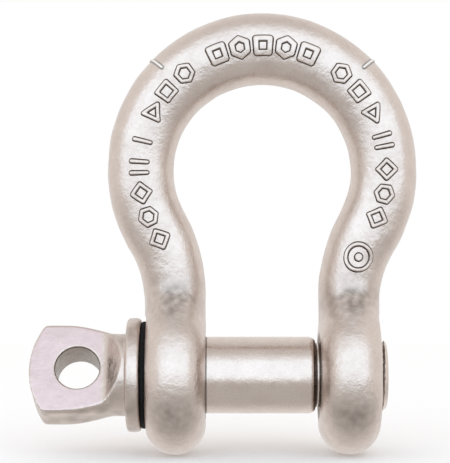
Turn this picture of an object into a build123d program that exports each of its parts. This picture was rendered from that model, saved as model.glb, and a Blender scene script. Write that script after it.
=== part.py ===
from build123d import *
from math import cos, pi, radians, sin, sqrt, tan
import os

# A forged bow shackle with a screw pin, nominal size 3/4 in, in millimetres.
# Frame: the pin's axis is X and the threaded ear is at +X, Z rises towards the crown of the bow, and the
# origin is on the pin's axis midway between the ears.

# The bar of the bow, along its centreline in the XZ plane: a main arc, a reverse arc and a straight leg.
MAIN_RADIUS = 35.3
MAIN_CENTRE_Z = 59.4
MAIN_ARC_END_DEG = 30.0  # below the horizontal, where the curve turns the other way
REVERSE_RADIUS = 39.8
CROWN_DIAMETER = 20.6
SIDE_DIAMETER = 18.9
LEG_THICKNESS = 17.5  # along X; a leg is deeper along Y, as the side is

# The ears, and how the bar spreads into them along Y.
EAR_DIAMETER = 46.0
EAR_THICKNESS = LEG_THICKNESS
EAR_RIM_RADIUS = EAR_THICKNESS / 2 - 0.02
CHEEK_ANGLE_DEG = 38.0  # the cheeks run straight from the ear's round to the bar, at this angle to the leg
CHEEK_FILLET = 7.0  # where a cheek meets the bar
BAR_END_Z = 8.0  # the bar runs down into the ear to this height
EAR_CLEARANCE = 0.1  # keeps the bar's hidden end just inside the ear
SPOT_FACE_DIAMETER = 34.4
SPOT_FACE_DEPTH = 0.5
MOUTH_CHAMFER = 0.8

# The screw pin. Its thread is 7/8-9 UNC with a pitch of 2.822, held here as a plain cylinder.
SHANK_DIAMETER = 22.2
PLAIN_HOLE_DIAMETER = 23.2
THREAD_PITCH_DIAMETER = 20.39
THREAD_CLEARANCE = 0.03  # on each side of the pitch line, radially
RELIEF_DIAMETER = 18.6
RELIEF_LENGTH = 3.4
SHOULDER_X = 15.4
SHOULDER_ROUND = 2.2
PIN_END_X = 35.8
PIN_END_CHAMFER = 0.9
COLLAR_DIAMETER = 33.0
COLLAR_THICKNESS = 4.2
COLLAR_ROUND = 1.2

# The sealing washer between the collar and the plain ear.
WASHER_DIAMETER = 30.6
WASHER_THICKNESS = 1.5
WASHER_BORE = 22.8
WASHER_ROUND = 0.3

# The flattened handle, in its own plane, which is turned about the pin's axis.
NECK_DIAMETER = 23.9
HANDLE_END_X = -67.3
HANDLE_END_RADIUS = 23.0
HANDLE_HEIGHT = 27.3
HANDLE_CORNER = 3.0
HANDLE_TAPER_X = -57.5  # the height falls from here to the neck, ever more steeply
NECK_START_X = -43.4
HANDLE_TAPER_END_SLOPE = 0.25
HANDLE_THICKNESS = 11.5
HANDLE_EDGE_RADIUS = 14.35  # the long edges are cut to this radius about the pin's axis
RAMP_FOOT_X = -45.4  # each flat ends in a ramp that climbs to the round neck
RAMP_TOP_X = -40.3
RAMP_FILLET = 4.0
HANDLE_TURN_DEG = 27.5
EYE_DIAMETER = 12.8
EYE_X = -53.3

OVERRUN = 2.0  # how far a blank or a cutter runs past the face that it meets

# Worked out from the above.
TURN = radians(MAIN_ARC_END_DEG)
REVERSE_CENTRE_X = (MAIN_RADIUS + REVERSE_RADIUS) * cos(TURN)
REVERSE_CENTRE_Z = MAIN_CENTRE_Z - (MAIN_RADIUS + REVERSE_RADIUS) * sin(TURN)
LEG_X = REVERSE_CENTRE_X - REVERSE_RADIUS
EAR_INNER_X = LEG_X - EAR_THICKNESS / 2
EAR_OUTER_X = LEG_X + EAR_THICKNESS / 2
SPOT_FACE_X = EAR_OUTER_X - SPOT_FACE_DEPTH
COLLAR_FACE_X = -SPOT_FACE_X - WASHER_THICKNESS
COLLAR_BACK_X = COLLAR_FACE_X - COLLAR_THICKNESS
EAR_RADIUS = EAR_DIAMETER / 2
HANDLE_ROOT_X = COLLAR_BACK_X + OVERRUN
CHEEK_ANGLE = radians(CHEEK_ANGLE_DEG)
CHEEK_LOW_Z = EAR_RADIUS * sin(CHEEK_ANGLE)


def along_x(radius, x_low, x_high):
    """A cylinder on the pin's axis from x_low to x_high."""
    middle = (x_low + x_high) / 2
    return Pos(middle, 0, 0) * Rot(0, 90, 0) * Cylinder(radius, x_high - x_low)


def bar_section(x, z, slope, width, depth):
    """An ellipse across the bar: width in the bow's plane, depth along Y, slope the bar's direction."""
    plane = Plane(origin=(x, 0, z), x_dir=(0, 1, 0), z_dir=(cos(slope), 0, sin(slope)))
    return plane * Ellipse(depth / 2, width / 2)


def half_bar():
    """Stations from the crown down to the +X ear, each as (x, z, slope, width, depth)."""
    stations = []
    main_steps, reverse_steps, leg_steps = 8, 8, 4
    for i in range(main_steps + 1):
        angle = pi / 2 - (pi / 2 + TURN) * i / main_steps
        swell = max(0.0, sin(angle)) ** 2
        width = SIDE_DIAMETER + (CROWN_DIAMETER - SIDE_DIAMETER) * swell
        x = MAIN_RADIUS * cos(angle)
        z = MAIN_CENTRE_Z + MAIN_RADIUS * sin(angle)
        stations.append((x, z, angle - pi / 2, width, width))
    for i in range(1, reverse_steps + 1):
        share = i / reverse_steps
        angle = pi - TURN + TURN * share
        width = SIDE_DIAMETER + (LEG_THICKNESS - SIDE_DIAMETER) * share
        x = REVERSE_CENTRE_X + REVERSE_RADIUS * cos(angle)
        z = REVERSE_CENTRE_Z + REVERSE_RADIUS * sin(angle)
        stations.append((x, z, angle + pi / 2, width, bar_depth(z)))
    for i in range(1, leg_steps + 1):
        z = REVERSE_CENTRE_Z + (BAR_END_Z - REVERSE_CENTRE_Z) * i / leg_steps
        stations.append((LEG_X, z, -pi / 2, LEG_THICKNESS - EAR_CLEARANCE, bar_depth(z)))
    return stations


def bar_depth(z):
    """The bar's depth along Y at a height: even, then wider down the cheeks, then just inside the ear."""
    half = SIDE_DIAMETER / 2
    corner_z = CHEEK_LOW_Z + (EAR_RADIUS * cos(CHEEK_ANGLE) - half) / tan(CHEEK_ANGLE)
    reach = CHEEK_FILLET * tan(CHEEK_ANGLE / 2)
    fillet_top = corner_z + reach
    fillet_foot = corner_z - reach * cos(CHEEK_ANGLE)
    if z >= fillet_top:
        return 2 * half
    if z >= fillet_foot:
        return 2 * (half + CHEEK_FILLET - sqrt(CHEEK_FILLET**2 - (fillet_top - z) ** 2))
    if z >= CHEEK_LOW_Z:
        return 2 * (half + (corner_z - z) * tan(CHEEK_ANGLE))
    return 2 * (sqrt(EAR_RADIUS**2 - z**2) - EAR_CLEARANCE * (CHEEK_LOW_Z - z))


def bow_bar():
    """The bent bar, lofted from one ear over the crown to the other."""
    right = half_bar()
    left = [(-x, z, -slope, width, depth) for x, z, slope, width, depth in right[1:]]
    return loft([bar_section(*station) for station in [*reversed(left), *right]])


def ear(side):
    """A round eye at the end of a leg, with a full-round rim. side is 1 for +X and -1 for -X."""
    blank = along_x(EAR_RADIUS, -EAR_THICKNESS / 2, EAR_THICKNESS / 2)
    rims = blank.edges().filter_by(GeomType.CIRCLE)
    return Pos(side * LEG_X, 0, 0) * fillet(rims, EAR_RIM_RADIUS)


def hole(radius, side):
    """The tool that cuts an ear's hole: a cylinder with a chamfered mouth on each face, and the spot face."""
    low = min(side * EAR_INNER_X, side * SPOT_FACE_X)
    high = max(side * EAR_INNER_X, side * SPOT_FACE_X)
    tool = along_x(radius, low - OVERRUN, high + OVERRUN)
    for x, outward in ((low, -1), (high, 1)):
        mouth = Cone(radius, radius + 2 * MOUTH_CHAMFER, 2 * MOUTH_CHAMFER)
        tool += Pos(x, 0, 0) * Rot(0, outward * 90, 0) * mouth
    spot_low = SPOT_FACE_X if side > 0 else -SPOT_FACE_X - OVERRUN
    return tool + along_x(SPOT_FACE_DIAMETER / 2, spot_low, spot_low + OVERRUN)


def bow():
    """The forged bow with its two ears: a plain hole at -X and the threaded hole at +X."""
    forging = bow_bar() + ear(1) + ear(-1)
    forging -= hole(PLAIN_HOLE_DIAMETER / 2, -1)
    forging -= hole(THREAD_PITCH_DIAMETER / 2 + THREAD_CLEARANCE, 1)
    return forging


def shank():
    """The turned part of the pin, from the collar to the threaded end."""
    relief_end = SHOULDER_X + RELIEF_LENGTH
    body = along_x(SHANK_DIAMETER / 2, COLLAR_FACE_X, SHOULDER_X)
    body = fillet(body.edges().filter_by(GeomType.CIRCLE).sort_by(Axis.X)[-1], SHOULDER_ROUND)
    relief = along_x(RELIEF_DIAMETER / 2, SHOULDER_X - OVERRUN, relief_end)
    thread = along_x(THREAD_PITCH_DIAMETER / 2 - THREAD_CLEARANCE, relief_end, PIN_END_X)
    thread = chamfer(thread.edges().filter_by(GeomType.CIRCLE), PIN_END_CHAMFER)
    return body + relief + thread


def collar():
    """The flange that closes on the washer."""
    flange = along_x(COLLAR_DIAMETER / 2, COLLAR_BACK_X, COLLAR_FACE_X)
    return fillet(flange.edges().filter_by(GeomType.CIRCLE), COLLAR_ROUND)


def neck_taper(height, side=1):
    """The curve from the handle's height down to the neck, above the axis (side 1) or below it (side -1)."""
    return Spline(
        (HANDLE_TAPER_X, side * height),
        (NECK_START_X, side * NECK_DIAMETER / 2),
        tangents=((1, 0), (1, -side * HANDLE_TAPER_END_SLOPE)),
    )


def handle_outline():
    """The handle seen square on, from its curved end to inside the collar."""
    half = HANDLE_HEIGHT / 2
    neck = NECK_DIAMETER / 2
    centre_x = HANDLE_END_X + HANDLE_END_RADIUS
    top_x = centre_x - sqrt(HANDLE_END_RADIUS**2 - half**2)
    with BuildSketch(Plane.XZ) as outline:
        with BuildLine():
            ThreePointArc((top_x, -half), (HANDLE_END_X, 0), (top_x, half))
            for side in (1, -1):
                Line((top_x, side * half), (HANDLE_TAPER_X, side * half))
                neck_taper(half, side)
                Line((NECK_START_X, side * neck), (HANDLE_ROOT_X, side * neck))
            Line((HANDLE_ROOT_X, neck), (HANDLE_ROOT_X, -neck))
        make_face()
        fillet(outline.vertices().sort_by(Axis.X)[:2], HANDLE_CORNER)
    return extrude(outline.sketch, COLLAR_DIAMETER, both=True)


def handle_flats():
    """The handle's thickness seen edge on: two flats, each with a ramp up to the neck."""
    half = HANDLE_THICKNESS / 2
    climb = NECK_DIAMETER / 2 - half
    steepness = climb / (RAMP_TOP_X - RAMP_FOOT_X)
    above = (RAMP_TOP_X + OVERRUN, half + climb + OVERRUN * steepness)
    upper = [(HANDLE_END_X - OVERRUN, half), (RAMP_FOOT_X, half), above, (HANDLE_ROOT_X + OVERRUN, above[1])]
    lower = [(x, -y) for x, y in reversed(upper)]
    with BuildSketch(Plane.XY) as flats:
        with BuildLine():
            Polyline(*upper, *lower, close=True)
        make_face()
        feet = flats.vertices().sort_by(Axis.X)[2:4]
        fillet(feet, RAMP_FILLET)
    return extrude(flats.sketch, COLLAR_DIAMETER, both=True)


def handle_stock():
    """The round envelope that the handle is forged from: it rounds the neck and trims the long edges."""
    neck = NECK_DIAMETER / 2
    far_x = HANDLE_END_X - OVERRUN
    with BuildSketch(Plane.XY) as half:
        with BuildLine():
            Polyline((HANDLE_ROOT_X, 0), (far_x, 0), (far_x, HANDLE_EDGE_RADIUS))
            Line((far_x, HANDLE_EDGE_RADIUS), (HANDLE_TAPER_X, HANDLE_EDGE_RADIUS))
            neck_taper(HANDLE_EDGE_RADIUS)
            Polyline((NECK_START_X, neck), (HANDLE_ROOT_X, neck), (HANDLE_ROOT_X, 0))
        make_face()
    return revolve(half.sketch, Axis.X)


def handle():
    """The flattened head with an eye through it, turned to where it stands when the pin is screwed home."""
    blank = handle_outline() & handle_flats() & handle_stock()
    eye = Pos(EYE_X, 0, 0) * Rot(90, 0, 0) * Cylinder(EYE_DIAMETER / 2, COLLAR_DIAMETER)
    return Rot(-HANDLE_TURN_DEG, 0, 0) * (blank - eye)


def screw_pin():
    """The pin forged and turned in one piece: handle, neck, collar, shank and threaded end."""
    return handle() + collar() + shank()


def washer():
    """The black rubber washer on the shank, held between the collar and the plain ear."""
    ring = along_x(WASHER_DIAMETER / 2, COLLAR_FACE_X, -SPOT_FACE_X)
    ring = fillet(ring.edges().filter_by(GeomType.CIRCLE), WASHER_ROUND)
    return ring - along_x(WASHER_BORE / 2, COLLAR_FACE_X - OVERRUN, -SPOT_FACE_X + OVERRUN)


os.makedirs("parts", exist_ok=True)
for name, make in {"bow": bow, "screw_pin": screw_pin, "washer": washer}.items():
    export_step(make(), f"parts/{name}.step")
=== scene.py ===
from math import cos, exp, hypot, pi, radians, sin, sqrt, tan

import bmesh
import bpy
import numpy as np
from mathutils import Matrix, Vector, noise
from mathutils.bvhtree import BVHTree


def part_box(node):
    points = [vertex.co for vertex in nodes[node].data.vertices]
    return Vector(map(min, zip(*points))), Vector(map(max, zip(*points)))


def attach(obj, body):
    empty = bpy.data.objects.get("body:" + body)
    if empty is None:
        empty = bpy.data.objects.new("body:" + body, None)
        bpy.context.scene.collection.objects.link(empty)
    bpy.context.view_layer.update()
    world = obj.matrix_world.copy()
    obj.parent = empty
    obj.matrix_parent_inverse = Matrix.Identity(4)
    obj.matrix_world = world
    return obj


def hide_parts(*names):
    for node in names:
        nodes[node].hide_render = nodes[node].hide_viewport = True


# Lengths are in millimetres until they reach a mesh, a light or the camera, which hold metres.
MM = 0.001

# The bow, as the CAD model has it. Each half of the bar is a main arc, a reverse arc and a straight leg.
MAIN_RADIUS = 35.3
MAIN_CENTRE_Z = 59.4
ARC_END = radians(30)
REVERSE_RADIUS = 39.8
LEG_THICKNESS = 17.5
LEG_X = (MAIN_RADIUS + REVERSE_RADIUS) * cos(ARC_END) - REVERSE_RADIUS
REVERSE_CENTRE_X = LEG_X + REVERSE_RADIUS
REVERSE_CENTRE_Z = MAIN_CENTRE_Z - (MAIN_RADIUS + REVERSE_RADIUS) * sin(ARC_END)
EAR_RADIUS = 23.0
EAR_INNER_X = LEG_X - LEG_THICKNESS / 2
SPOT_FACE_DEPTH = 0.5
SPOT_FACE_X = LEG_X + LEG_THICKNESS / 2 - SPOT_FACE_DEPTH
SPOT_FACE_RADIUS = 17.2
PLAIN_HOLE_RADIUS = 11.6
HOLE_CHAMFER = 0.7

# The pin.
SHANK_RADIUS = 11.1
WASHER_THICKNESS = 1.5
COLLAR_FACE_X = -SPOT_FACE_X - WASHER_THICKNESS
SHOULDER_X = 15.4
SHOULDER_LENGTH = 2.2
SHOULDER_DROP = 0.72  # how deep the rounded shoulder is, as a share of its length
RELIEF_RADIUS = 9.3
RELIEF_END_X = 18.8
PIN_END_X = 35.8
PIN_END_RADIUS = 9.5
THREAD_PITCH = 2.822
THREAD_CREST = 11.0
THREAD_ROOT = 9.45
THREAD_GAP = 0.18
ROOT_FLAT = 0.2  # the flat at a thread's root, as a share of the pitch
FLANKS = 0.66  # both sloping sides, as a share of the pitch
FADE_LENGTH = 1.4  # how far before the relief's end the thread begins to rise out of it
FADE_SLOPE = 1.2
EYE_X = -53.3
EYE_RADIUS = 6.4
EYE_FLARE = 0.7
HANDLE_THICKNESS = 11.5
HANDLE_HALF = HANDLE_THICKNESS / 2
NECK_X = -43.4
HANDLE_TURN = radians(27.5)

# From the eye's own axes, where X runs through the eye, to the pin's. Both are in metres.
FROM_EYE = (
    Matrix.Rotation(-HANDLE_TURN, 4, "X")
    @ Matrix.Translation((EYE_X * MM, 0, 0))
    @ Matrix.Rotation(-pi / 2, 4, "Z")
)
TO_EYE = FROM_EYE.inverted()


# ---------- mesh helpers ----------

AXIS_GAP = 0.02  # a turned solid's ends start this far off its axis


def clamp(value):
    return min(1.0, max(0.0, value))


def ripples(position, table):
    """The height of smooth noises at a position. table has the size, the height and the shift of each."""
    return sum(noise.noise(position / size + Vector(shift)) * height for size, height, shift in table)


def add_object(name, mesh):
    piece = bpy.data.objects.new(name, mesh)
    bpy.context.scene.collection.objects.link(piece)
    return piece


def ring(x, radius, steps):
    """Points round the pin's axis at x. radius is a number, or a function of the angle."""
    angles = np.linspace(0, 2 * pi, steps, False)
    radii = [radius(t) for t in angles] if callable(radius) else [radius] * steps
    return [(x, r * cos(t), r * sin(t)) for r, t in zip(radii, angles)]


def ring_mesh(name, rings, closed=False):
    """A skin over rings of points. It runs on from the last ring to the first, or else has flat ends."""
    rows, columns = len(rings), len(rings[0])
    verts = [Vector(point) * MM for points in rings for point in points]
    faces = []
    for i in range(rows if closed else rows - 1):
        this, following = i * columns, (i + 1) % rows * columns
        for j in range(columns):
            k = (j + 1) % columns
            faces.append((this + j, this + k, following + k, following + j))
    if not closed:
        faces.append(tuple(reversed(range(columns))))
        faces.append(tuple((rows - 1) * columns + j for j in range(columns)))
    mesh = bpy.data.meshes.new(name)
    mesh.from_pydata(verts, [], faces)
    bm = bmesh.new()
    bm.from_mesh(mesh)
    bmesh.ops.recalc_face_normals(bm, faces=bm.faces)
    bm.to_mesh(mesh)
    bm.free()
    return mesh


def spun(name, profile, steps, centre_x=0.0):
    """A closed solid of revolution about the pin's axis. profile has (x, radius) from end to end."""
    return ring_mesh(name, [ring(centre_x + x, radius, steps) for x, radius in profile])


def join_meshes(name, meshes):
    bm = bmesh.new()
    for mesh in meshes:
        bm.from_mesh(mesh)
    joined = bpy.data.meshes.new(name)
    bm.to_mesh(joined)
    bm.free()
    return joined


def apply_modifiers(piece):
    """Replace the piece's mesh with the result of its modifiers."""
    graph = bpy.context.evaluated_depsgraph_get()
    graph.update()
    mesh = bpy.data.meshes.new_from_object(piece.evaluated_get(graph))
    piece.modifiers.clear()
    piece.data = mesh


def remesh(piece, voxel):
    modifier = piece.modifiers.new("remesh", "REMESH")
    modifier.mode = "VOXEL"
    modifier.voxel_size = voxel * MM
    apply_modifiers(piece)


def soften(piece, rounds):
    modifier = piece.modifiers.new("soften", "SMOOTH")
    modifier.factor = 0.5
    modifier.iterations = rounds
    apply_modifiers(piece)


def cut(piece, cutter_mesh):
    """Cut one closed mesh out of a piece, with crisp edges."""
    cutter = add_object("cutter", cutter_mesh)
    modifier = piece.modifiers.new("cut", "BOOLEAN")
    modifier.operation = "DIFFERENCE"
    modifier.solver = "EXACT"
    modifier.object = cutter
    apply_modifiers(piece)
    bpy.data.objects.remove(cutter)


def move_along_normals(piece, height):
    """Move each vertex along its normal by height(position)."""
    mesh = piece.data
    count = len(mesh.vertices)
    places, normals = np.empty(count * 3), np.empty(count * 3)
    mesh.vertices.foreach_get("co", places)
    mesh.vertices.foreach_get("normal", normals)
    places, normals = places.reshape(-1, 3), normals.reshape(-1, 3)
    heights = np.array([height(Vector(p)) for p in places / MM])
    mesh.vertices.foreach_set("co", (places + normals * heights[:, None] * MM).ravel())
    mesh.update()


def store_painted_shade(mesh, values):
    """Store how much painted shade and painted dark reflection each vertex has, 0 to 1, for the materials.
    """
    attribute = mesh.attributes.new("painted_shade", "FLOAT", "POINT")
    attribute.data.foreach_set("value", np.array(values, np.float32))


def set_painted_shade(piece, painted_shade):
    """Store recess(position) for each of a piece's vertices."""
    store_painted_shade(piece.data, [painted_shade(v.co / MM) for v in piece.data.vertices])


def shade(piece, sharp_degrees):
    """Smooth shading, with edges sharper than the angle left crisp."""
    mesh = piece.data
    bm = bmesh.new()
    bm.from_mesh(mesh)
    limit = radians(sharp_degrees)
    for face in bm.faces:
        face.smooth = True
    for edge in bm.edges:
        edge.smooth = len(edge.link_faces) == 2 and edge.calc_face_angle(0) < limit
    bm.to_mesh(mesh)
    bm.free()


# ---------- the bow ----------

BAR_RADIUS = 9.8  # a mean: the bar is thicker at the crown than at the sides
SQUARENESS = 0.5  # how much fuller the bar's section is between its front and its sides
SQUARE_FROM_Z = 22.0
SQUARE_BLEND = 18.0
BOW_VOXEL = 0.6
BOW_RIPPLES = [  # size, height, shift: slow waves, shallow dents and pores
    (17.0, 0.16, (0, 0, 0)),
    (5.5, 0.06, (9, 0, 0)),
    (1.6, 0.022, (0, 7, 0)),
]
TRIM_HEIGHT = 0.22
TRIM_HALF_WIDTH = 0.9
EAR_STEPS = 160
RIM_STEPS = 24
HOLE_STEPS = 96
HOLE_RINGS = 110
HOLE_OVERRUN = 4  # how far a hole's cutter reaches past the ear
# Painted shade in and round the holes, and painted dark reflections on the ears' cheeks and below the
# holes.
HOLE_SHADE = 0.6
HOLE_SHADE_REACH = 0.9  # past the plain hole's radius
DARK_REFLECTION_PATCHES = [(22.5, 1.0), (-9.5, 0.6)]  # height above the pin's axis, strength
DARK_REFLECTION_HALF_WIDTH = 6.5
DARK_REFLECTION_HALF_HEIGHT = 5.0
DARK_REFLECTION_RIPPLES = [(6.5, 0.9, (3, 1, 8)), (1.7, 0.7, (0, 0, 0))]  # size, height, shift
DARK_REFLECTION_STRENGTH = 0.6
DARKEST_REFLECTION = 0.55


def bar_at(along):
    """The bar's centre and its outward side, at a distance from the crown that is positive towards +X."""
    side = 1 if along >= 0 else -1
    s = abs(along)
    main_end = MAIN_RADIUS * (pi / 2 + ARC_END)
    reverse_end = main_end + REVERSE_RADIUS * ARC_END
    if s <= main_end:
        angle = pi / 2 - s / MAIN_RADIUS
        x = MAIN_RADIUS * cos(angle)
        z = MAIN_CENTRE_Z + MAIN_RADIUS * sin(angle)
        out = (cos(angle), sin(angle))
    elif s <= reverse_end:
        angle = pi - ARC_END + (s - main_end) / REVERSE_RADIUS
        x = REVERSE_CENTRE_X + REVERSE_RADIUS * cos(angle)
        z = REVERSE_CENTRE_Z + REVERSE_RADIUS * sin(angle)
        out = (-cos(angle), -sin(angle))
    else:
        x = LEG_X
        z = REVERSE_CENTRE_Z - (s - reverse_end)
        out = (1.0, 0.0)
    return Vector((side * x, 0, z)), Vector((side * out[0], 0, out[1]))


def thread_radius(x, angle, crest, root):
    """The radius of a 60-degree thread on the pin's axis, with flat crests and roots."""
    turn = (x / THREAD_PITCH + angle / (2 * pi)) % 1.0
    from_root = abs(turn - 0.5) * 2  # 0 in the middle of a root, 1 in the middle of a crest
    return root + (crest - root) * clamp((from_root - ROOT_FLAT) / FLANKS)


def ear_blank(side):
    """An ear before it is drilled: a disc with a full-round rim."""
    rim = LEG_THICKNESS / 2
    profile = [(-rim, AXIS_GAP)]
    for i in range(RIM_STEPS + 1):
        t = pi * i / RIM_STEPS
        profile.append((-rim * cos(t), EAR_RADIUS - rim + rim * sin(t)))
    profile.append((rim, AXIS_GAP))
    return spun("ear_blank", profile, EAR_STEPS, side * LEG_X)


def hole_cutter(radius_at, side):
    """The tool for one ear: a hole of radius_at(x, angle), its chamfered mouths and the outer spot face."""
    inner, outer = side * EAR_INNER_X, side * SPOT_FACE_X
    rings = []
    for x in [inner - side * HOLE_OVERRUN, *np.linspace(inner - side * 1.0, outer, HOLE_RINGS)]:
        in_ear = (x - inner) * (outer - x) > 0
        depth = min(abs(x - inner), abs(outer - x)) if in_ear else 0.0
        mouth = PLAIN_HOLE_RADIUS + HOLE_CHAMFER - depth
        rings.append(ring(x, lambda t: max(radius_at(x, t), mouth), HOLE_STEPS))
    for x in (outer, outer + side * HOLE_OVERRUN):
        rings.append(ring(x, SPOT_FACE_RADIUS, HOLE_STEPS))
    return ring_mesh("hole_cutter", rings)


def forging_height(position):
    """How far the forged surface stands off the CAD's: squared section, ripples and a faint trim line."""
    across = min(1.0, abs(position.y) / BAR_RADIUS)
    on_bar = clamp((position.z - SQUARE_FROM_Z) / SQUARE_BLEND)
    squared = SQUARENESS * 4 * across * across * (1 - across * across) * on_bar
    unevenness = 0.7 + 0.6 * noise.noise(position / 6.0)
    trim = TRIM_HEIGHT * exp(-((position.y / TRIM_HALF_WIDTH) ** 2)) * unevenness
    return squared + ripples(position, BOW_RIPPLES) + trim


def bow_painted_shade(position):
    """Painted shade in the holes, and thin painted dark reflections on the middle of each ear's cheeks and
    below its hole.
    """
    if hypot(position.y, position.z) < PLAIN_HOLE_RADIUS + HOLE_SHADE_REACH:
        return HOLE_SHADE
    aside = (abs(position.x) - LEG_X) / DARK_REFLECTION_HALF_WIDTH
    painted_reflection = 0.0
    for z, strength in DARK_REFLECTION_PATCHES:
        painted_reflection += strength * exp(-(((position.z - z) / DARK_REFLECTION_HALF_HEIGHT) ** 2) - aside ** 2)
    unevenness = 0.8 + ripples(position, DARK_REFLECTION_RIPPLES)
    return min(DARKEST_REFLECTION, max(0.0, DARK_REFLECTION_STRENGTH * painted_reflection * unevenness))


def make_bow(node):
    """The bow: the CAD bow with round-rimmed ears, made one surface, forged, then drilled and threaded."""
    blank = join_meshes("bow_forging", [node.data, ear_blank(1), ear_blank(-1)])
    piece = add_object("bow_forging", blank)
    remesh(piece, BOW_VOXEL)
    soften(piece, 10)
    move_along_normals(piece, forging_height)
    crest, root = THREAD_CREST + THREAD_GAP, THREAD_ROOT + THREAD_GAP
    cut(piece, hole_cutter(lambda x, t: PLAIN_HOLE_RADIUS, -1))
    cut(piece, hole_cutter(lambda x, t: thread_radius(x, t, crest, root), 1))
    set_painted_shade(piece, bow_painted_shade)
    shade(piece, 40)
    return piece


# ---------- raised figures on the bow ----------

FIGURE_GRID = 0.15
FIGURE_REACH = 5.4  # half the side of the square patch that holds a figure
FIGURE_MARGIN = 0.6  # how far the patch is kept round a stroke
RAISED = 0.5
WALL_FOOT = 0.22  # distance from a stroke's edge
WALL_WIDTH = 0.5
SINK_FROM = 0.24
SINK_WIDTH = 0.2
SINK_DEPTH = 0.3
LIFT = 0.02  # keeps a stroke's foot just off the bow's surface
# Where and how wide the painted shade at the foot of each stroke's wall lies.
OUTLINE_SHADE_MIDDLE = 0.12  # distance from a stroke's edge
OUTLINE_SHADE_HALF_WIDTH = 0.38
RAY_START = 16  # outside the bar, measured from its centre
STROKE = 1.15
BOLD_STROKE = 1.6
OUTLINES = {  # corners, radius to a corner, angle of the first corner from the bar's direction
    "diamond": (4, 2.6, 0),
    "square": (4, 2.75, 45),
    "hexagon": (6, 2.4, 30),
    "triangle": (3, 2.7, 0),
}
BAR_HALF_LENGTH = 2.3
BARS_HALF_PITCH = 1.6
TARGET_RADIUS = 3.7
TARGET_DOT = 1.2
ROWS = [  # place of the first figure along the bar from the crown, pitch, figures
    (-76.4, 7.1, ("diamond", "hexagon", "diamond")),
    (-54.8, 7.6, ("bars", "dash")),
    (-38.6, 7.2, ("triangle", "square", "hexagon")),
    (-13.2, 6.6, ("bold square", "bold hexagon", "bold square", "bold hexagon", "bold square")),
    (24.2, 7.2, ("hexagon", "square", "triangle")),
    (47.2, 0.0, ("bars",)),
    (55.4, 7.1, ("diamond", "hexagon", "diamond")),
    (82.0, 0.0, ("target",)),
]
TICK_PLACE = MAIN_RADIUS * pi / 4
TICK_OFFSET = 10.1  # towards the bar's outer side, round its section
TICK_LEAN = 0.05
TICK_HALF_LENGTH = 4.4
TICK_HALF_WIDTH = 0.38
# How strong the painted shade at the foot of a tick's wall is.
TICK_SHADE = 0.7


def polygon(a, b, corners, radius, first_degrees):
    """Distance from a regular polygon's outline."""
    sector = 2 * pi / corners
    angle = (np.arctan2(b, a) - radians(first_degrees)) % sector - sector / 2  # 0 at a side's middle
    reach = np.hypot(a, b)
    outside = reach * np.cos(angle) - radius * cos(sector / 2)
    past_corner = np.abs(reach * np.sin(angle)) - radius * sin(sector / 2)
    return np.where(past_corner > 0, np.hypot(outside, past_corner), np.abs(outside))


def cross_line(a, b, middle_a, half_length):
    """Distance from a straight line that runs across the bow's bar."""
    return np.hypot(a - middle_a, b - np.clip(b, -half_length, half_length))


def figure_distance(kind, a, b):
    """Distance from the edge of a figure's raised stroke, negative on the stroke.

    a runs along the bow's bar from the figure's middle and b runs across it.
    """
    if kind == "tick":
        return cross_line(a, b, 0, TICK_HALF_LENGTH) - TICK_HALF_WIDTH
    if kind == "dash":
        return cross_line(a, b, 0, BAR_HALF_LENGTH) - STROKE / 2
    if kind == "bars":
        first = cross_line(a, b, -BARS_HALF_PITCH, BAR_HALF_LENGTH)
        second = cross_line(a, b, BARS_HALF_PITCH, BAR_HALF_LENGTH)
        return np.minimum(first, second) - STROKE / 2
    if kind == "target":
        from_middle = np.hypot(a, b)
        circle = np.abs(from_middle - TARGET_RADIUS) - STROKE / 2
        return np.minimum(circle, from_middle - TARGET_DOT)
    stroke = BOLD_STROKE if kind.startswith("bold ") else STROKE
    return polygon(a, b, *OUTLINES[kind.removeprefix("bold ")]) - stroke / 2


def raised_profile(distance):
    """Height above the bow at a distance from a stroke's edge: rounded top, steep wall, then below."""
    rise = np.clip((WALL_FOOT - distance) / WALL_WIDTH, 0, 1)
    sink = np.clip((distance - SINK_FROM) / SINK_WIDTH, 0, 1)
    return RAISED * rise * rise * (3 - 2 * rise) + LIFT - SINK_DEPTH * sink


def outline_shade(distance):
    """How much painted shade lies at the foot of a stroke's wall, 0 to 1."""
    return np.maximum(0.0, 1 - (np.abs(distance - OUTLINE_SHADE_MIDDLE) / OUTLINE_SHADE_HALF_WIDTH) ** 2)


def add_figure(tree, verts, faces, painted_shade, kind, along, offset, lean):
    """Lay one figure on the bow's front as a fine patch that follows the forging's surface."""
    steps = int(2 * FIGURE_REACH / FIGURE_GRID)
    line = np.linspace(-FIGURE_REACH, FIGURE_REACH, steps + 1)
    a, b = np.meshgrid(line, line, indexing="ij")
    distance = figure_distance(kind, a * cos(lean) + b * sin(lean), b * cos(lean) - a * sin(lean))
    height = raised_profile(distance)
    # Painted shade at the foot of the stroke's wall, stored with the patch's vertices.
    stroke_shade = outline_shade(distance) * (TICK_SHADE if kind == "tick" else 1.0)
    index = {}
    for i in range(steps + 1):
        centre, outward = bar_at(along + line[i])
        for j in range(steps + 1):
            if distance[i, j] > FIGURE_MARGIN:
                continue
            angle = (offset + line[j]) / BAR_RADIUS
            away = Vector((0, -cos(angle), 0)) + outward * sin(angle)
            hit = tree.ray_cast((centre + away * RAY_START) * MM, -away)[0]
            if hit is not None:
                index[i, j] = len(verts)
                verts.append(hit + away * float(height[i, j]) * MM)
                painted_shade.append(stroke_shade[i, j])
    for i, j in index:
        corners = [(i, j), (i + 1, j), (i + 1, j + 1), (i, j + 1)]
        if all(c in index for c in corners):
            faces.append([index[c] for c in corners])


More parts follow.
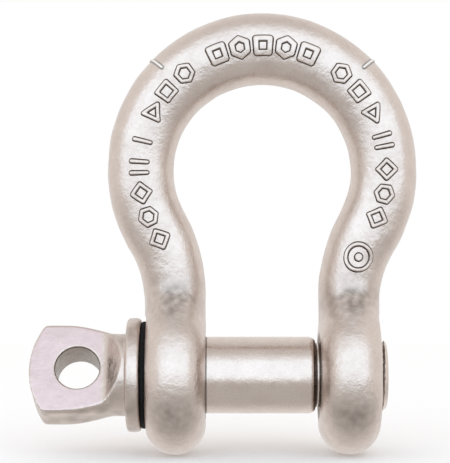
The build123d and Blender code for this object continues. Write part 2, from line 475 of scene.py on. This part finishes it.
def make_figures(name, bow, figures):
    """Raised figures on the bow's front. Each has a kind, a place along the bar, an offset and a lean."""
    tree = BVHTree.FromPolygons(
        [v.co for v in bow.data.vertices], [p.vertices for p in bow.data.polygons]
    )
    verts, faces, painted_shade = [], [], []
    for figure in figures:
        add_figure(tree, verts, faces, painted_shade, *figure)
    mesh = bpy.data.meshes.new(name)
    mesh.from_pydata(verts, [], faces)
    store_painted_shade(mesh, painted_shade)
    piece = add_object(name, mesh)
    shade(piece, 80)
    return piece


def figure_list():
    return [
        (kind, start + pitch * i, 0.0, 0.0)
        for start, pitch, kinds in ROWS
        for i, kind in enumerate(kinds)
    ]


def tick_list():
    """The index ticks, 45 degrees each side of the crown, on the bar's outer side."""
    return [("tick", side * TICK_PLACE, TICK_OFFSET, -side * TICK_LEAN) for side in (1, -1)]


# ---------- the pin ----------

FACE_MARGIN = 0.02  # the head is cut off this far past the collar's face, so the face stays whole
PLUG_INSET = 0.01  # how far the eye's plug stays inside the handle's flats
PLUG_OVERLAP = 0.6  # how far it reaches into the eye's wall
EYE_OVERRUN = 3  # how far the eye's cutter reaches past the handle
EYE_MARGIN = 0.05
HEAD_VOXEL = 0.36
HEAD_RIPPLES = [(9.0, 0.10, (0, 0, 0)), (3.0, 0.03, (0, 0, 0))]  # size, height, shift
# Painted shade in the eye, and painted shade on the head away from the line where its highlight falls; the
# flats are evenly a little darker.
EYE_SHADE = 0.62
FLAT_DARKENING = 0.05
HEAD_SHADE = 0.15
BRIGHT_LINE_Z = 4.0
BRIGHT_HALF_WIDTH = 5.0
SHANK_STEPS = 144
SHANK_RINGS = [  # from x, to x, how many: close together where the radius or the grime changes
    (COLLAR_FACE_X - 0.6, COLLAR_FACE_X - 0.6, 1),
    (COLLAR_FACE_X - 0.5, -EAR_INNER_X - 0.5, 12),
    (-EAR_INNER_X - 0.4, -EAR_INNER_X + 0.45, 2),
    (-EAR_INNER_X + 0.55, SHOULDER_X - 2.3, 16),
    (SHOULDER_X - SHOULDER_LENGTH, SHOULDER_X, 14),
    (SHOULDER_X + 0.02, PIN_END_X, 170),
]
TIP_SHARES = (0.93, 0.6, 0.25)  # radii of the rings that close the pin's end, as shares of the last
TIP_RISE = 0.05
# Painted shade in rings at the crevices along the shank and the thread.
SHANK_SHADE = [  # from x, to x, how dark
    (-EAR_INNER_X - 0.45, -EAR_INNER_X + 0.5, 0.7),
    (SHOULDER_X - 0.1, SHOULDER_X + 0.3, 0.9),
    (EAR_INNER_X - 0.4, EAR_INNER_X + 0.4, 0.9),
    (EAR_INNER_X + 0.4, RELIEF_END_X, 0.4),
    (SPOT_FACE_X - 0.2, SPOT_FACE_X + 0.7, 0.8),
]
WASHER_BORE = 11.4
WASHER_RADIUS = 15.3
WASHER_ROUNDING = 0.3
WASHER_BULGE = 0.25
WASHER_STEPS = 160


def head_blank(node):
    """The CAD pin cut off at the collar's face and closed there, with the eye filled in."""
    bm = bmesh.new()
    bm.from_mesh(node.data)
    geometry = bm.verts[:] + bm.edges[:] + bm.faces[:]
    plane = Vector((COLLAR_FACE_X + FACE_MARGIN, 0, 0)) * MM
    bmesh.ops.bisect_plane(bm, geom=geometry, plane_co=plane, plane_no=(1, 0, 0), clear_outer=True)
    bmesh.ops.holes_fill(bm, edges=[e for e in bm.edges if e.is_boundary])
    head = bpy.data.meshes.new("pin_head")
    bm.to_mesh(head)
    bm.free()
    end, radius = HANDLE_HALF - PLUG_INSET, EYE_RADIUS + PLUG_OVERLAP
    plug = spun("plug", [(-end, AXIS_GAP), (-end, radius), (end, radius), (end, AXIS_GAP)], 64)
    plug.transform(FROM_EYE)
    return join_meshes("pin_head", [head, plug])


def eye_cutter():
    """The tool for the handle's eye, with rounded mouths."""
    mouth = EYE_RADIUS + EYE_FLARE + EYE_MARGIN
    profile = [(-HANDLE_HALF - EYE_OVERRUN, mouth), (-HANDLE_HALF - EYE_MARGIN, mouth)]
    for t in np.linspace(0.15, pi / 2, 7):
        x = -HANDLE_HALF + EYE_FLARE * (1 - cos(t))
        profile.append((x, EYE_RADIUS + EYE_FLARE * (1 - sin(t))))
    profile += [(-x, radius) for x, radius in reversed(profile)]
    cutter = spun("eye", profile, 96)
    cutter.transform(FROM_EYE)
    return cutter


def head_painted_shade(position):
    """Painted shade in the eye, and painted shade in patches on the rim, neck and collar, off the line
    where their highlight falls. The flats are evenly a little darker.
    """
    in_eye = TO_EYE @ (position * MM) / MM
    if hypot(in_eye.y, in_eye.z) < EYE_RADIUS + 0.2:
        return EYE_SHADE
    if abs(in_eye.x) > HANDLE_HALF - 0.6 and position.x < NECK_X:
        return FLAT_DARKENING
    bright_line = exp(-(((position.z - BRIGHT_LINE_Z) / BRIGHT_HALF_WIDTH) ** 2))
    return max(0.0, HEAD_SHADE * (1 - bright_line) * (1 + 1.8 * noise.noise(position / 3.5)))


def make_pin_head(node):
    """Handle, neck and collar, softened as a forging, with a crisp eye."""
    piece = add_object("pin_head", head_blank(node))
    remesh(piece, HEAD_VOXEL)
    soften(piece, 5)
    move_along_normals(piece, lambda position: ripples(position, HEAD_RIPPLES))
    cut(piece, eye_cutter())
    set_painted_shade(piece, head_painted_shade)
    shade(piece, 40)
    return piece


def shank_radius(x, angle):
    """The turned part's radius: shank, rounded shoulder, relief, then a thread that fades in and out."""
    shoulder_start = SHOULDER_X - SHOULDER_LENGTH
    if x <= shoulder_start:
        return SHANK_RADIUS
    if x <= SHOULDER_X:
        into = (x - shoulder_start) / SHOULDER_LENGTH
        return SHANK_RADIUS - SHOULDER_LENGTH * (1 - sqrt(max(0.0, 1 - into * into))) * SHOULDER_DROP
    fade_in = RELIEF_RADIUS + max(0.0, x - (RELIEF_END_X - FADE_LENGTH)) * FADE_SLOPE
    fade_out = PIN_END_RADIUS + max(0.0, PIN_END_X - x)
    thread = thread_radius(x, angle, THREAD_CREST, THREAD_ROOT)
    return min(fade_in, fade_out, THREAD_CREST, max(RELIEF_RADIUS, thread))


def shank_painted_shade(position):
    """Painted shade in rings where the shank and thread enter the ears, at the shoulder and in the relief.
    """
    for low, high, depth in SHANK_SHADE:
        if low < position.x < high:
            return depth
    return 0.0


def make_pin_shank():
    """The turned part of the pin, which starts just inside the collar and ends in a barely raised tip."""
    rings = []
    for x in np.concatenate([np.linspace(*span) for span in SHANK_RINGS]):
        rings.append(ring(x, lambda t: shank_radius(x, t), SHANK_STEPS))
    end = rings[-1]
    for share in TIP_SHARES:
        rings.append([(PIN_END_X + TIP_RISE, y * share, z * share) for x, y, z in end])
    piece = add_object("pin_shank", ring_mesh("pin_shank", rings))
    set_painted_shade(piece, shank_painted_shade)
    shade(piece, 32)
    return piece


def make_washer():
    """The rubber washer, squeezed between the collar and the left ear until its edge bulges. Its near-black
    also stands in for the crevice's deep shade.
    """
    low, high = COLLAR_FACE_X, -SPOT_FACE_X
    middle, half = (low + high) / 2, (high - low) / 2
    edge = WASHER_RADIUS - 2 * WASHER_ROUNDING
    profile = [(low, WASHER_BORE), (low, edge)]
    for t in np.linspace(0, pi, 13):
        bulge = (WASHER_ROUNDING + WASHER_BULGE) * sin(t)
        profile.append((middle - half * cos(t), WASHER_RADIUS - WASHER_ROUNDING + bulge))
    profile += [(high, edge), (high, WASHER_BORE)]
    rings = [ring(x, radius, WASHER_STEPS) for x, radius in profile]
    piece = add_object("sealing_washer", ring_mesh("sealing_washer", rings, closed=True))
    shade(piece, 35)
    return piece


# ---------- materials ----------

LIGHT_ZINC = (0.685, 0.59, 0.532)
DARK_ZINC = (0.595, 0.505, 0.45)
LIGHT_PRESSED = (0.675, 0.535, 0.52)
DARK_PRESSED = (0.61, 0.48, 0.465)
LIGHT_WORN = (0.98, 0.93, 0.89)
DARK_WORN = (0.92, 0.86, 0.81)
# The near-black brown that painted shade darkens the steel towards.
PAINTED_SHADE_COLOUR = (0.065, 0.045, 0.03)
STEEL_BUMPS = [  # size, roughness and shift of the noise, height: dents, orange peel and fine grain
    (3.6, 0.5, 14.0, 0.22),
    (1.3, 0.55, 8.0, 0.13),
    (0.6, 0.6, 11.0, 0.10),
]
FLAT_ALIGNMENT = cos(radians(14))


class Nodes:
    """The node tree of a material or a world, written in few lines."""

    def __init__(self, owner, coordinates, shader):
        owner.use_nodes = True
        self.tree = owner.node_tree
        self.place = self.add("TexCoord").outputs[coordinates]
        self.shader = self.tree.nodes[shader]

    def add(self, kind):
        return self.tree.nodes.new("ShaderNode" + kind)

    def put(self, value, socket):
        """Set a socket to a number or a colour, or link it to another node's output."""
        if isinstance(value, (int, float)):
            socket.default_value = value
        elif isinstance(value, tuple):
            socket.default_value = (*value, 1.0)
        else:
            self.tree.links.new(value, socket)

    def noise(self, size, detail=3.0, roughness=0.5, shift=0.0):
        mapping = self.add("Mapping")
        mapping.inputs["Location"].default_value = (shift, shift * 0.7, -shift)
        self.put(self.place, mapping.inputs["Vector"])
        texture = self.add("TexNoise")
        self.put(mapping.outputs["Vector"], texture.inputs["Vector"])
        self.put(1 / MM / size, texture.inputs["Scale"])
        self.put(detail, texture.inputs["Detail"])
        self.put(roughness, texture.inputs["Roughness"])
        return texture.outputs["Fac"]

    def remap(self, value, low, high, to_low=0.0, to_high=1.0):
        node = self.add("MapRange")
        self.put(value, node.inputs["Value"])
        self.put(low, node.inputs["From Min"])
        self.put(high, node.inputs["From Max"])
        self.put(to_low, node.inputs["To Min"])
        self.put(to_high, node.inputs["To Max"])
        return node.outputs["Result"]

    def math(self, operation, a, b):
        node = self.add("Math")
        node.operation = operation
        self.put(a, node.inputs[0])
        self.put(b, node.inputs[1])
        return node.outputs["Value"]

    def mix(self, share, a, b):
        node = self.add("Mix")
        node.data_type = "RGBA"
        for name, value in (("Factor", share), ("A", a), ("B", b)):
            self.put(value, next(s for s in node.inputs if s.name == name and s.enabled))
        return next(s for s in node.outputs if s.enabled)

    def bump(self, height, distance, strength, onto=None):
        node = self.add("Bump")
        self.put(distance * MM, node.inputs["Distance"])
        self.put(strength, node.inputs["Strength"])
        self.put(height, node.inputs["Height"])
        if onto is not None:
            self.put(onto, node.inputs["Normal"])
        return node.outputs["Normal"]

    def set(self, name, value):
        self.put(value, self.shader.inputs[name])


def new_material(name):
    material = bpy.data.materials.new(name)
    return material, Nodes(material, "Object", "Principled BSDF")


def steel(name, light, dark, grain, roughness, relief):
    """Satin galvanised steel: a cloudy zinc tone, grain of a size, bumps of a strength, and painted shade.
    """
    material, n = new_material(name)
    clouds = n.remap(n.noise(7.0, 4.0, 0.55), 0.38, 0.66)
    grains = n.remap(n.noise(grain, 2.0, 0.6, 3.0), 0.35, 0.7)
    tone = n.math("ADD", n.math("MULTIPLY", clouds, 0.5), n.math("MULTIPLY", grains, 0.5))
    # Painted shade: the base colour darkens towards a near-black brown by each vertex's stored value.
    painted_shade = n.add("Attribute")
    painted_shade.attribute_name = "painted_shade"
    n.set("Base Color", n.mix(painted_shade.outputs["Fac"], n.mix(tone, light, dark), PAINTED_SHADE_COLOUR))
    n.set("Metallic", 1.0)
    smears = n.noise(2.4, 3.0, 0.6, 5.0)
    n.set("Roughness", n.remap(smears, 0.3, 0.7, roughness - 0.06, roughness + 0.08))
    normal = None
    for size, bump_roughness, shift, height in STEEL_BUMPS:
        bumps = n.noise(size, 2.0, bump_roughness, shift)
        normal = n.bump(bumps, height * relief, 0.7, normal)
    n.set("Normal", normal)
    return material


def rubber():
    """Dull black rubber, faintly uneven, near-black enough to stand in for the deep shade in the crevice by
    the collar as well.
    """
    material, n = new_material("black_rubber_and_crevice_shade")
    tone = n.remap(n.noise(1.2), 0.3, 0.7)
    n.set("Base Color", n.mix(tone, (0.003, 0.003, 0.003), (0.010, 0.009, 0.009)))
    n.set("Roughness", n.remap(n.noise(0.8), 0.3, 0.7, 0.7, 0.9))
    n.set("Specular IOR Level", 0.2)
    n.set("Normal", n.bump(n.noise(0.5), 0.03, 0.5))
    return material


def paint(piece, material):
    piece.data.materials.clear()
    piece.data.materials.append(material)


def paint_flats(head, material):
    """Give the handle's two pressed flats a material of their own."""
    head.data.materials.append(material)
    across = Vector((0, cos(HANDLE_TURN), -sin(HANDLE_TURN)))
    for face in head.data.polygons:
        if face.center.x < NECK_X * MM and abs(face.normal.dot(across)) > FLAT_ALIGNMENT:
            face.material_index = 1


# ---------- studio ----------

CAMERA_DISTANCE = 480.0
CAMERA_X = -10.8
CAMERA_Z = 41.7
FRAME_WIDTH = 130.8  # across the frame at the object's middle
SENSOR_WIDTH = 36.0
WORLD_COLOUR = (1.0, 1.0, 1.0)
FLOOR_COLOUR = (0.86, 0.83, 0.81)
FLOOR_GLOW = 0.14
FLOOR_HALF = 8.0  # metres
FLOOR_FADE = (0.10, 0.55)  # metres from the object
KEY_COLOUR = (0.53, 0.77, 1.0)
KEY_DISTANCE = 0.9  # metres
KEY_TARGET = Vector((0, 0, 0.04))  # metres


def make_camera():
    data = bpy.data.cameras.new("camera")
    data.sensor_fit = "HORIZONTAL"
    data.sensor_width = SENSOR_WIDTH
    data.lens = SENSOR_WIDTH * CAMERA_DISTANCE / FRAME_WIDTH
    data.clip_start = 0.01
    camera = bpy.data.objects.new("camera", data)
    camera.location = Vector((CAMERA_X, -CAMERA_DISTANCE, CAMERA_Z)) * MM
    camera.rotation_euler = (pi / 2, 0, 0)
    bpy.context.scene.collection.objects.link(camera)
    bpy.context.scene.camera = camera


def softbox(name, elevation, half_angle, width, radiance):
    """A soft light in front. Elevation and half_angle are degrees seen from the object, width is metres."""
    data = bpy.data.lights.new(name, "AREA")
    data.shape = "RECTANGLE"
    data.size = width
    data.size_y = 2 * KEY_DISTANCE * tan(radians(half_angle))
    data.energy = radiance * pi * data.size * data.size_y
    data.color = KEY_COLOUR
    light = bpy.data.objects.new(name, data)
    away = Vector((0, -cos(radians(elevation)), sin(radians(elevation))))
    light.location = KEY_TARGET + away * KEY_DISTANCE
    light.rotation_euler = away.to_track_quat("Z", "Y").to_euler()
    light.visible_camera = False
    bpy.context.scene.collection.objects.link(light)


def make_floor(low):
    """A pale floor, unseen in reflections, that fades into the world's colour without a horizon."""
    mesh = bpy.data.meshes.new("floor")
    corners = [(x * FLOOR_HALF, y * FLOOR_HALF, low) for x, y in ((-1, -1), (1, -1), (1, 1), (-1, 1))]
    mesh.from_pydata(corners, [], [(0, 1, 2, 3)])
    floor = add_object("floor", mesh)
    material, n = new_material("pale_floor")
    n.set("Base Color", FLOOR_COLOUR)
    n.set("Roughness", 0.9)
    n.set("Specular IOR Level", 0.1)
    n.set("Emission Color", FLOOR_COLOUR)
    n.set("Emission Strength", FLOOR_GLOW)
    distance = n.add("VectorMath")
    distance.operation = "LENGTH"
    n.put(n.place, distance.inputs[0])
    glow = n.add("Emission")
    n.put(WORLD_COLOUR, glow.inputs["Color"])
    blend = n.add("MixShader")
    n.put(n.remap(distance.outputs["Value"], *FLOOR_FADE), blend.inputs[0])
    n.put(n.shader.outputs[0], blend.inputs[1])
    n.put(glow.outputs[0], blend.inputs[2])
    n.put(blend.outputs[0], n.tree.nodes["Material Output"].inputs["Surface"])
    paint(floor, material)
    floor.visible_glossy = False


def make_world():
    """White all round, a little darker overhead, and darker below the horizon in front of the object."""
    world = bpy.data.worlds.new("world")
    n = Nodes(world, "Generated", "Background")
    parts = n.add("SeparateXYZ")
    n.put(n.place, parts.inputs[0])
    overhead = n.remap(parts.outputs["Z"], 0.75, 0.97, 1.0, 0.82)
    below = n.remap(parts.outputs["Z"], -0.12, -0.34, 0.0, 0.34)
    in_front = n.remap(parts.outputs["Y"], 0.6, 0.0)
    n.set("Color", WORLD_COLOUR)
    n.set("Strength", n.math("SUBTRACT", overhead, n.math("MULTIPLY", below, in_front)))
    bpy.context.scene.world = world


def make_studio(low):
    make_floor(low)
    make_world()
    softbox("key", elevation=20.0, half_angle=30.0, width=3.1, radiance=0.90)
    softbox("key_top", elevation=57.0, half_angle=7.0, width=2.4, radiance=0.35)
    make_camera()
    bpy.context.scene.view_settings.view_transform = "Standard"


# ---------- the object ----------

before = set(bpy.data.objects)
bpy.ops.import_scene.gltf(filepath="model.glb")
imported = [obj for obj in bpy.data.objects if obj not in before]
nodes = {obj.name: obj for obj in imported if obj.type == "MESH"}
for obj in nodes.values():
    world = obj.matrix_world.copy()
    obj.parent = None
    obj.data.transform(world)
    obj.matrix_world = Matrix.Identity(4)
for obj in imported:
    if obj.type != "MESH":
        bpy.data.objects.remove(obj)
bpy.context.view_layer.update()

forged = steel("forged_steel", LIGHT_ZINC, DARK_ZINC, grain=0.9, roughness=0.32, relief=1.0)
pressed = steel("pressed_steel", LIGHT_PRESSED, DARK_PRESSED, grain=0.9, roughness=0.34, relief=0.4)
turned = steel("turned_steel", LIGHT_ZINC, DARK_ZINC, grain=0.6, roughness=0.23, relief=0.4)
worn = steel("worn_steel", LIGHT_WORN, DARK_WORN, grain=0.6, roughness=0.5, relief=0.4)

bow = make_bow(nodes["bow"])
head = make_pin_head(nodes["screw_pin"])
shank = make_pin_shank()
washer = make_washer()
for piece, body, node, slot, material in (
    (bow, "bow", "bow", "forged_steel", forged),
    (head, "screw_pin", "screw_pin", "pin_steel", forged),
    (shank, "screw_pin", "screw_pin", "pin_steel", turned),
    (washer, "washer", "washer", "rubber", rubber()),
):
    paint(piece, material)
    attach(piece, body)
    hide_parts(node)

paint_flats(head, pressed)

for piece, material in (
    (make_figures("raised_figures", bow, figure_list()), forged),
    (make_figures("index_ticks", bow, tick_list()), worn),
):
    paint(piece, material)
    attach(piece, "bow")

make_studio(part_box("bow")[0].z)
